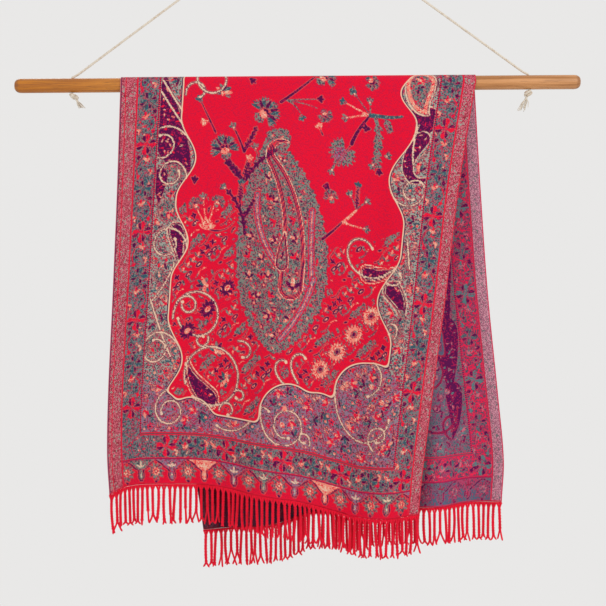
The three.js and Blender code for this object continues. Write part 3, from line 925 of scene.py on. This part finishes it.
def draw_hem(canvas):
    """Pendants that hang from the bottom band, and a rosette between each two."""
    u, h = canvas.u, canvas.h
    where = np.nonzero((h < 50) & (u > SELVAGE_WIDTH) & (u < 690))[0]
    step = np.round((u[where] - PENDANT_START) / PENDANT_PITCH)
    off = np.abs(u[where] - PENDANT_START - step * PENDANT_PITCH)
    height = h[where]
    rise = np.clip((height - 27) / 21, 0, 1)
    skirt = 2.8 + 31.5 * rise**1.15 + 2.2 * np.sin(rise * math.pi * 2)
    bulb = 4.8 * np.sqrt(np.clip(1 - ((height - 18) / 10) ** 2, 0, 1))
    distance = np.maximum(off - np.maximum(bulb, np.where(height > 24, skirt, 0)), 9 - height)
    distance *= np.where(height > 27, 0.6, 1.0)
    canvas.cover("plum", where, distance - 3.8)
    for k, ink in enumerate(("grey", "blush", "salmon", "blush")):
        mine = np.mod(step, 4) == k
        canvas.cover(ink, where[mine], distance[mine])
    for k in range(10):
        middle = PENDANT_START + PENDANT_PITCH * k
        canvas.fan(("cream",), (middle, 33), 90, 120, 3, 13, 3.6)
        canvas.leaf("cream", (middle, 11), 90, 14, 3.0)
    for k in range(11):
        at = (PENDANT_START + PENDANT_PITCH * (k - 0.5), 25)
        for ink, radius, petals, turn, depth in HEM_ROSETTE:
            canvas.disc(ink, at, radius, petals, turn, depth)
        canvas.disc("plum", (at[0], 5), 3.4)


def great_paisley_radii(t):
    swell = np.minimum(88 * np.sin(math.pi * np.clip(t / 0.91, 0, 1) ** 0.82), 330 * t)
    hook = 12 * np.clip(5 * t - 3.6, 0, 1) * np.sqrt(np.clip((1.03 - t) / 0.12, 0, 1))
    return np.maximum(swell, hook) + 1


# Striped bands across the great paisley: place, height, heading, length, sweep
GREAT_STRIPES = ((290, 580, -92, 230, 75), (405, 560, -88, 130, 5), (420, 430, -100, 140, -30))
GREAT_RINGS = (("cream", -2.0), ("plum", -0.4), ("red", 2.4), ("plum", 3.8), ("grey", 7.0))
GREAT_MOTIFS = (
    (Canvas.tulip, 15, ("plum", "salmon")), (Canvas.floret, "plum", 5, 0.55, "salmon", 2.6),
    (Canvas.tulip, 14, ("red", "plum")), (Canvas.floret, "teal", 6, 0.4, "red", 2.8),
)


def draw_great_paisley(canvas):
    """The large hooked paisley in the middle of the field, with its flame edge and inner drops."""
    body = bend((352, 275), 86, 410, 20, 1.0, 61)
    path = np.concatenate([body, bend(body[-1], 106, 62, -240, 1.0, 9)[1:]])
    radii = great_paisley_radii(np.linspace(0, 1, len(path)))
    for k in range(2, len(path) - 3):
        way = path[k + 1] - path[k - 1]
        ahead = math.degrees(math.atan2(way[1], way[0]))
        slope = (radii[k + 1] - radii[k - 1]) / math.hypot(way[0], way[1])
        out = math.degrees(math.acos(min(max(-slope, -1.0), 1.0)))
        length = (9 + 6 * (k % 3 == 0)) * min(1, 0.02 * radii[k] + 0.3)
        for hand in (-1, 1):
            rim = beside(path[k], ahead + hand * out, radii[k] - 4)
            canvas.fan(("grey",), rim, ahead + hand * (out - 24 * (k % 2)), 50, 2, length, 9)
    where, shape = canvas.distance(path, radii, 12.0)
    canvas.cover("grey", where, shape)
    for u, h, heading, length, sweep in GREAT_STRIPES:
        striped, off = canvas.distance(bend((u, h), heading, length, sweep), 5.0)
        canvas.cover("red", striped, off - 1.6)
        canvas.cover("blush", striped, off)
        canvas.put("salmon", striped, off + 3.6)
    neck = bend((374, 408), 88, 256, 42, 1.6)
    hook = bend(neck[-1], 126, 65, -150, 1.0, 8)
    canvas.drop(np.concatenate([neck, hook[1:]]), 48, GREAT_RINGS)
    canvas.paisley((352, 450), 92, 62, 24, -12, (("cream", -2.0), ("plum", -0.4), ("grey", 3.4)))
    canvas.tulip((378, 405), 90, 22, ("plum", "salmon"))
    inside = np.full(canvas.u.shape, -1.0)
    inside[where] = -shape - 9
    canvas.keep_off(3.0, ("plum", "red", "salmon", "cream"), inside)
    canvas.fill(inside, 22.0, GREAT_MOTIFS, (1, 2), lambda r, c: 50 + 40 * ((r * 3 + c * 5) % 5))


def draw_flower(canvas, at, heading, size):
    """A fringed flower seen from the side."""
    for k in range(9):
        turn = heading + (k - 4) * 24
        inks, length = ((("grey", "grey", "teal"), 0.74), (("grey", "plum", "grey"), 0.62))[k % 2]
        canvas.fan(inks, beside(at, turn, 0.34 * size), turn, 34, 3, size * length, size * 0.2)
        canvas.leaf("plum", beside(at, turn + 12, 0.3 * size), turn + 12, size * 0.42, size * 0.1)
    heart = beside(at, heading, -0.08 * size)
    canvas.disc("plum", heart, size * 0.42, 11, heading, 0.35)
    canvas.disc("salmon", beside(heart, heading, -0.06 * size), size * 0.34, 9, heading, 0.3, 0.8, heading)
    canvas.fan(("plum",), beside(heart, heading, -0.05 * size), heading, 90, 4, size * 0.36, size * 0.09)
    canvas.fan(("grey",), beside(at, heading, -0.3 * size), heading + 180, 120, 5, size * 0.5, size * 0.26)


def draw_bud(canvas, at, heading, size, inks):
    canvas.fan((inks[0],), at, heading, 90, 3, size, size * 0.5)
    canvas.disc(inks[0], at, size * 0.42, 5, heading, 0.3)
    canvas.disc(inks[1], at, size * 0.18)


FLOWERS = (
    (215, 660, 110, 29), (290, 740, 45, 31), (400, 825, 60, 26), (410, 750, 300, 16), (495, 840, 330, 17),
    (165, 545, 120, 15), (210, 555, 60, 15), (440, 595, 110, 16),
)
PLUM_BUD = ("plum", "plum")
GREY_BUD = ("grey", "cream")
TEAL_BUD = ("teal", "plum")
ROSE_BUD = ("salmon", "red")
# Stems in the field: place, height, heading, length, sweep, ink, thickness, barb, what ends it
STEMS = (
    (195, 690, 120, 70, 0, "plum", 2.2, 0, TEAL_BUD), (180, 710, 190, 6, 0, "plum", 1.4, 0, ROSE_BUD),
    (255, 660, 115, 50, 8, "plum", 2.6, 0, GREY_BUD), (255, 660, 65, 55, 4, "plum", 3.4, 10, None),
    (320, 670, 210, 90, 40, "plum", 4.0, 11, None), (255, 605, 130, 40, 10, "plum", 4.4, 12, PLUM_BUD),
    (260, 605, 80, 40, 0, "plum", 2.2, 10, ROSE_BUD), (285, 650, 110, 20, 0, "plum", 1.8, 0, GREY_BUD),
    (270, 500, 95, 100, 50, "plum", 4.0, 12, GREY_BUD), (265, 530, 60, 45, 8, "plum", 3.0, 9, None),
    (255, 560, 90, 35, 0, "plum", 2.4, 9, TEAL_BUD), (195, 500, -15, 60, 75, "plum", 2.0, 0, None),
    (320, 765, 40, 85, 5, "plum", 3.2, 0, None), (330, 770, 8, 65, 0, "grey", 1.6, 0, PLUM_BUD),
    (330, 770, -15, 45, -50, "grey", 1.6, 0, TEAL_BUD), (335, 770, -4, 60, -10, "grey", 1.6, 0, None),
    (255, 805, -40, 4, 0, "plum", 1.6, 0, PLUM_BUD), (430, 510, 45, 60, 10, "plum", 3.0, 0, None),
    (470, 555, 52, 42, 0, "salmon", 3.2, 0, None), (450, 685, -115, 40, 10, "grey", 3.4, 0, GREY_BUD),
    (430, 620, -100, 4, 0, "plum", 1.8, 0, PLUM_BUD), (410, 710, 120, 15, 0, "plum", 1.8, 0, ROSE_BUD),
    (470, 710, 75, 70, -20, "plum", 4.0, 0, None), (500, 775, 10, 65, 0, "teal", 4.4, 0, None),
    (510, 775, -60, 95, -50, "grey", 4.2, 14, GREY_BUD), (520, 750, -85, 75, 8, "grey", 4.4, 13, PLUM_BUD),
    (530, 780, -60, 30, 0, "grey", 3.6, 11, None), (495, 775, 170, 50, 0, "salmon", 2.2, 0, TEAL_BUD),
    (495, 775, 205, 45, 0, "salmon", 2.2, 0, GREY_BUD), (495, 780, 140, 40, 0, "grey", 1.6, 0, GREY_BUD),
    (500, 780, 100, 20, 0, "grey", 1.6, 0, GREY_BUD), (505, 750, 190, 6, 0, "plum", 1.6, 0, PLUM_BUD),
    (190, 500, 120, 50, 0, "salmon", 1.9, 0, None), (190, 500, 100, 60, 0, "salmon", 1.9, 0, GREY_BUD),
    (190, 500, 75, 55, 0, "salmon", 1.9, 0, None), (160, 585, 90, 6, 0, "plum", 1.6, 0, PLUM_BUD),
    (495, 590, 92, 42, 0, "plum", 2.4, 8, TEAL_BUD), (495, 590, 45, 26, 0, "grey", 2.0, 0, GREY_BUD),
    (495, 590, 125, 26, 0, "grey", 2.0, 0, GREY_BUD), (470, 555, 2, 46, 0, "salmon", 2.0, 0, GREY_BUD),
    (460, 820, 270, 4, 0, "grey", 1.6, 0, TEAL_BUD), (540, 705, 20, 4, 0, "grey", 1.6, 0, GREY_BUD),
)
# Winding lines in the field: place, height, heading, length, sweep, how late it winds
FIELD_CURLS = (
    (130, 760, 90, 80, -250, 1.3), (205, 810, -60, 150, -300, 1.0), (135, 320, 95, 270, -350, 1.1),
    (140, 350, 65, 105, -360, 1.3), (170, 195, 110, 330, -330, 1.0), (275, 190, 50, 50, -280, 1.2),
    (245, 150, 80, 60, -250, 1.3), (210, 290, -80, 60, -300, 1.3), (380, 220, 140, 70, -190, 2.2),
    (410, 225, 130, 85, -190, 2.2), (275, 290, 10, 60, -200, 1.4), (590, 490, 215, 205, -275, 1.8),
)
# Leaf clusters in the field: place, heading
CLUSTERS = (((205, 770), 80), ((195, 390), 190), ((230, 265), 60), ((205, 345), 110), ((255, 210), 160))


def draw_field(canvas):
    canvas.paisley((220, 170), 140, 95, 42, -55, DARK_DROP)
    canvas.paisley((532, 472), 5, 62, 32, 40, DARK_DROP)
    for at, heading in CLUSTERS:
        canvas.fan(("grey", "salmon", "teal", "plum"), at, heading, 220, 7, 20, 8)
        canvas.disc("salmon", beside(at, heading, -3), 5, 5, 0, 0.3)
    for u, h, heading, length, sweep, power in FIELD_CURLS:
        path = bend((u, h), heading, length, sweep, power, 32)
        canvas.line(path, 1.5)
        canvas.disc("cream", path[-1], 3.2)
    for u, h, heading, length, sweep, ink, thickness, barb, end in STEMS:
        path = bend((u, h), heading, length, sweep, 1.0, 12)
        canvas.plume(ink, path, thickness, thickness * 0.6, barb)
        if end:
            draw_bud(canvas, path[-1], heading + sweep, 12, end)
    for u, h, heading, size in FLOWERS:
        draw_flower(canvas, (u, h), heading, size)
    canvas.fan(("grey",), (455, 690), 240, 270, 15, 34, 9)
    canvas.disc("blush", (450, 683), 12, stretch=1.2, tilt=60)
    canvas.stroke("plum", bend((468, 705), 238, 52, 12), 1.6, 1.2)
    canvas.fan(("salmon",), (191, 499), 92, 120, 5, 22, 7)
    for k in range(3):
        at = (166 + 38 * k, 298 + 46 * k)
        canvas.disc("plum", at, 16, 12, 0, 0.36, 1.35, 50)
        canvas.disc("salmon", at, 4.5, stretch=1.6, tilt=50)
    for k in range(4):
        at = (453 + 31.5 * k, 262 + 43.5 * k)
        canvas.disc("grey", at, 21.5, 16, 0, 0.36, 1.3, 52)
        canvas.disc("salmon", at, 17.5, 16, 0, 0.34, 1.3, 52)
        canvas.disc("grey", at, 6.2, stretch=1.5, tilt=52)
        canvas.disc("plum", at, 3.6, stretch=1.4, tilt=52)


ROW_TURN = 48.0
ROW_PITCH = 12.5
ROW_STEP = 14.5


def draw_rows(canvas):
    """Slanting rows of small sprigs and wavy lines over the lower half of the field."""
    top = np.where(canvas.u < 320, 480, 350 + 0.45 * (canvas.u - 320))
    canvas.keep_off(4.0, INKS, np.minimum(canvas.boundary - 5, top + 90 - canvas.h))
    for r in range(-24, 25):
        start = beside(beside((350, 320), ROW_TURN + 90, r * ROW_PITCH), ROW_TURN + 180, 380)
        kind = r % 5
        if kind in (0, 3):
            first, second = ("plum", "plum") if kind else ("grey", "salmon")
            for k in range(13):
                at = beside(start, ROW_TURN, 62 * k + 20 * (r % 3))
                canvas.stroke(first, bend(at, ROW_TURN - 26, 24, 52, 1.0, 6), 1.9, 1.5)
                at = beside(at, ROW_TURN, 23)
                canvas.stroke(second, bend(at, ROW_TURN + 26, 22, -60, 1.0, 6), 1.3, 1.3)
        for k in range(52):
            at = beside(start, ROW_TURN, ROW_STEP * (k + 0.5 * (r % 2)))
            spot = (k * 2 + r * 3) % 7
            if kind in (0, 3) and spot in (1, 3, 4, 6):
                canvas.leaf("grey", beside(at, ROW_TURN + 90, 3), ROW_TURN + 70, 11, 6.4)
            elif kind == 1 and spot % 3:
                canvas.leaf("plum", beside(at, ROW_TURN, -9), ROW_TURN, 18, 9)
                canvas.leaf("salmon", beside(at, ROW_TURN, -6), ROW_TURN, 11, 3.6)
            elif kind == 2 and spot in (0, 3, 5):
                canvas.disc("plum", at, 7.6, 4, 20 * k, 0.66)
            elif kind == 2:
                canvas.fan(("grey", "salmon"), at, ROW_TURN + 20, 120, 3, 12, 5)
            elif kind == 4 and spot in (0, 2, 4):
                canvas.disc("grey", at, 8.4, 3, 90, 0.45)
            elif kind == 4 and spot in (3, 5):
                canvas.leaf("plum", at, ROW_TURN - 20, 12, 5)
    canvas.guard = None


SCATTERED = ("red", "plum", "teal", "salmon", "plum", "plum", "grey")


def scatter(canvas, seed):
    """Small leaves that fill what the drawn shapes leave bare in the borders and the great paisley."""
    chance = np.random.default_rng(seed)
    inks, edge = canvas.inks, canvas.edge
    ground = ((canvas.boundary < -4) & (np.abs(edge - BAND_WIDTH + 1) > 4)) | (inks["grey"] < -5)
    dark = (inks["plum"] < -4.5) & (chance.random(canvas.u.shape) < 0.3)
    in_band = (edge < BAND_WIDTH - 1) | (canvas.h < BAND_TOP)
    ground &= ~in_band | (chance.random(canvas.u.shape) < 0.25)
    bare = ((ground & (canvas.drawn(OPEN_INKS) > 3.2)) | dark) & (edge > 40) & (canvas.h > 52)
    taken = {}
    for spot in chance.permutation(np.nonzero(bare)[0]):
        u, h = canvas.u[spot], canvas.h[spot]
        cell = (int(u // 7), int(h // 7))
        near = [taken.get((cell[0] + a, cell[1] + b)) for a in (-1, 0, 1) for b in (-1, 0, 1)]
        if any(p is not None and math.hypot(p[0] - u, p[1] - h) < 6.6 for p in near):
            continue
        taken[cell] = (u, h)
        choice = ("grey", "salmon", "red") if dark[spot] else SCATTERED
        ink = choice[int(chance.integers(len(choice)))]
        canvas.leaf(ink, (u, h), chance.uniform(0, 360), chance.uniform(5, 9), chance.uniform(3.0, 4.4))


def pattern(u, h, seed, more_drops):
    canvas = Canvas(u, h)
    draw_great_paisley(canvas)
    draw_field(canvas)
    draw_borders(canvas, more_drops)
    draw_hem(canvas)
    draw_rows(canvas)
    scatter(canvas, seed)
    return canvas


# The two falls
def sheet_grid(fall, columns, rows_over, rows_down, offset):
    """A grid of points over the turn and down the fall, and each one's place on the flat cloth."""
    over = np.linspace(-1, 0, rows_over, endpoint=False)
    along = np.concatenate([over, np.linspace(0, 1, rows_down + 1)])
    across, along = np.meshgrid(np.linspace(0, 1, columns + 1), along)
    middle = cloth_points(fall, across, along)
    normals = cloth_normals(middle, fall["side"])
    points = middle + normals * (crease_heights(fall, across, along)[..., None] + offset)
    drop = through(fall["hem"], 1, across)
    height = (1 - np.maximum(along, 0)) * drop + np.maximum(-along, 0) * WRAP_LENGTH
    return points, across * CLOTH_WIDTH, height


def quads(grid):
    corners = (grid[:-1, :-1], grid[1:, :-1], grid[1:, 1:], grid[:-1, 1:])
    return np.stack(corners, axis=-1).reshape(-1, 4).tolist()


def rim(grid):
    """The grid's border, down its first column and round to its first corner."""
    return np.concatenate([grid[:, 0], grid[-1, 1:], grid[-2::-1, -1], grid[0, -2::-1]]).tolist()


def fall_piece(name, fall, size, skip, node, seed, more_drops):
    """A shell of outer cloth and inner cloth, whose mesh is skip times coarser."""
    outer, u, h = sheet_grid(fall, *size, CLOTH_THICKNESS / 2)
    inner = sheet_grid(fall, *size, -CLOTH_THICKNESS / 2)[0][::skip, ::skip]
    top = np.arange(u.size).reshape(u.shape)
    below = u.size + np.arange(inner[..., 0].size).reshape(inner.shape[:2])
    upper, lower = rim(top), rim(below)
    sides = []
    for k in range(len(lower) - 1):
        sides.append((upper[k * skip:(k + 1) * skip + 1] + [lower[k + 1], lower[k]])[::-1])
    outside, inside = quads(top), quads(below.T)
    faces = outside + inside + sides
    if fall["side"] > 0:
        faces = [f[::-1] for f in faces]
    kinds = np.repeat((0, 1, 0), (len(outside), len(inside), len(sides)))
    points = np.concatenate([outer.reshape(-1, 3), inner.reshape(-1, 3)])
    piece = piece_from(name, points, faces, [CLOTH_FACE, CLOTH_REVERSE], kinds)
    canvas = pattern(u, h, seed, more_drops)

    def both(values):
        grid = values.reshape(u.shape)
        return np.concatenate([grid.ravel(), grid[::skip, ::skip].ravel()])

    cloth = np.stack([both(u), both(h), np.zeros(len(points))], axis=1)
    keep(piece, "cloth", cloth, "FLOAT_VECTOR", "vector")
    keep(piece, "boundary", both(canvas.boundary))
    for ink, values in canvas.inks.items():
        keep(piece, ink, both(values))
    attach(piece, "root")
    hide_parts(node)
    return piece


front_sheet = fall_piece("front_sheet", FRONT, (240, 8, 288), 2, "shawl_front", 3, ())
back_sheet = fall_piece("back_sheet", BACK, (192, 6, 240), 1, "shawl_back", 4, BACK_DROPS)

# Fringes
STRAND_RINGS = 32
PLY_LAY = 11.0
STRIP_HEIGHT = 4.0
STRIP_STEPS = 180


def strand(chance, root, ahead, side, n):
    """One strand's two plies, twisted down to where they part."""
    t = np.linspace(0, 1, STRAND_RINGS)
    length = FRINGE_LENGTH * chance.uniform(0.95, 1.03)
    lean = 1.6 * math.sin(1.7 * n + 0.4) + 1.1 * math.sin(4.1 * n + 1.9) + chance.normal(0, 1.2)
    bow = chance.normal(0, 0.9)
    away = side * 0.3 * lean * t**2 + chance.normal(0, 0.8) * t
    down = -GAP - 1.2 - length * t
    centre = root + np.stack([lean * t**2 + bow * np.sin(math.pi * t), away, down], axis=1)
    split = chance.uniform(0.06, 0.1) if chance.uniform() < 0.72 else chance.uniform(0.16, 0.4)
    opening = chance.uniform(2.2, 4.2) * (1 + 4 * split)
    lay = chance.uniform(0.85, 1.15) * PLY_LAY
    turn = 2 * math.pi * length * np.clip(t - 0.1, 0, 0.9 - split) / lay
    near_root = np.clip(1 - t / 0.12, 0, 1)
    parted = np.clip((t - 1 + split) / split, 0, 1) ** 1.2 * opening
    reach = (1.6 + 1.9 * near_root**1.4 + parted)[:, None]
    radii = 1.9 + 1.6 * near_root**1.6 + 0.5 * np.exp(-(((t - 1 + split + 0.02) / 0.022) ** 2))
    radii[-1] *= 0.6
    cross = np.array([-ahead[1], ahead[0], 0.0])
    plies = []
    for angle in (turn[:, None], turn[:, None] + math.pi):
        off = (np.cos(angle) * ahead + np.sin(angle) * cross) * reach
        plies.append(tube(centre + off, radii, 6))
    return plies


def heading_strip(fall):
    """The narrow strip under the hem that holds the strands' roots."""
    across = np.linspace(0, 1, STRIP_STEPS + 1)
    both = np.stack([across, across])
    last = cloth_points(fall, both, np.stack([across * 0 + 0.995, across * 0 + 1]))
    out = cloth_normals(last, fall["side"])[1] * CLOTH_THICKNESS / 2
    top, foot = last[1] - (0, 0, GAP), last[1] - (0, 0, GAP + STRIP_HEIGHT)
    points = np.concatenate([top + out, foot + out, foot - out, top - out])
    starts = [k * len(across) for k in range(4)]
    faces = []
    for c in range(STRIP_STEPS):
        for a, b in zip(starts, starts[1:] + starts[:1]):
            faces.append((a + c, b + c, b + c + 1, a + c + 1))
    faces += [tuple(starts)[::-1], tuple(a + STRIP_STEPS for a in starts)]
    if fall["side"] > 0:
        faces = [f[::-1] for f in faces]
    return points, faces


def fringe_piece(name, fall, node, seed):
    chance = np.random.default_rng(seed)
    samples = np.linspace(0, 1, 801)[None]
    hem = cloth_points(fall, samples, np.ones_like(samples))[0]
    reach = reach_along(hem)

    def hem_at(place):
        return np.array([np.interp(place, reach, column) for column in hem.T])

    parts = []
    for n in range(FRINGE_STRANDS):
        place = (n + 0.5) / FRINGE_STRANDS * reach[-1]
        ahead = (hem_at(place + 2) - hem_at(place)) * (1, 1, 0)
        parts += strand(chance, hem_at(place), ahead / np.linalg.norm(ahead), fall["side"], n)
    parts.append(heading_strip(fall))
    piece = piece_from(name, *joined(parts), [YARN])
    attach(piece, "root")
    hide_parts(node)
    return piece


front_fringe = fringe_piece("front_strands", FRONT, "fringe_front", 21)
back_fringe = fringe_piece("back_strands", BACK, "fringe_back", 22)

# Light and floor
FLOOR_HEIGHT = -2.1
FLOOR_RADIUS = 2.4
LAMP_TARGET = (0.0, 0.0, -0.75)
# Lamps: name, place, strength, width
LAMPS = (
    ("key", (1.9, -2.6, 0.7), 34.0, 1.8), ("fill", (-2.4, -2.2, -0.2), 8.0, 2.4),
    ("back", (-0.8, 2.6, 0.6), 30.0, 2.0),
)


def floor_piece():
    angles = np.linspace(0, 2 * math.pi, 96, endpoint=False)
    rim_points = [np.cos(angles) * FLOOR_RADIUS, np.sin(angles) * FLOOR_RADIUS, angles * 0 + FLOOR_HEIGHT]
    s = Shader("pale_floor", 0.8)
    tone = s.times(s.noise(s.place(), (3.0,) * 3, 2.0), 0.3)
    s.paint(s.mix(tone, linear(226, 224, 220), linear(214, 212, 208)))
    floor = piece_from("floor", np.stack(rim_points, axis=1) / MM, [tuple(range(96))], [s.material])


def lamp(name, location, energy, size):
    """A soft lamp that faces the middle of the shawl."""
    light = bpy.data.lights.new(name, "AREA")
    light.energy = energy
    light.size = size
    holder = bpy.data.objects.new(name, light)
    holder.location = location
    away = np.array(location) - LAMP_TARGET
    pitch = math.acos(away[2] / np.linalg.norm(away))
    holder.rotation_euler = (pitch, 0, math.atan2(away[1], away[0]) + math.pi / 2)
    bpy.context.collection.objects.link(holder)


floor_piece()
for row in LAMPS:
    lamp(*row)

world = bpy.data.worlds.new("studio")
world.use_nodes = True
world.node_tree.nodes["Background"].inputs["Color"].default_value = linear(233, 232, 231)
world.node_tree.nodes["Background"].inputs["Strength"].default_value = 1.0
bpy.context.scene.world = world
bpy.context.scene.view_settings.view_transform = "Standard"
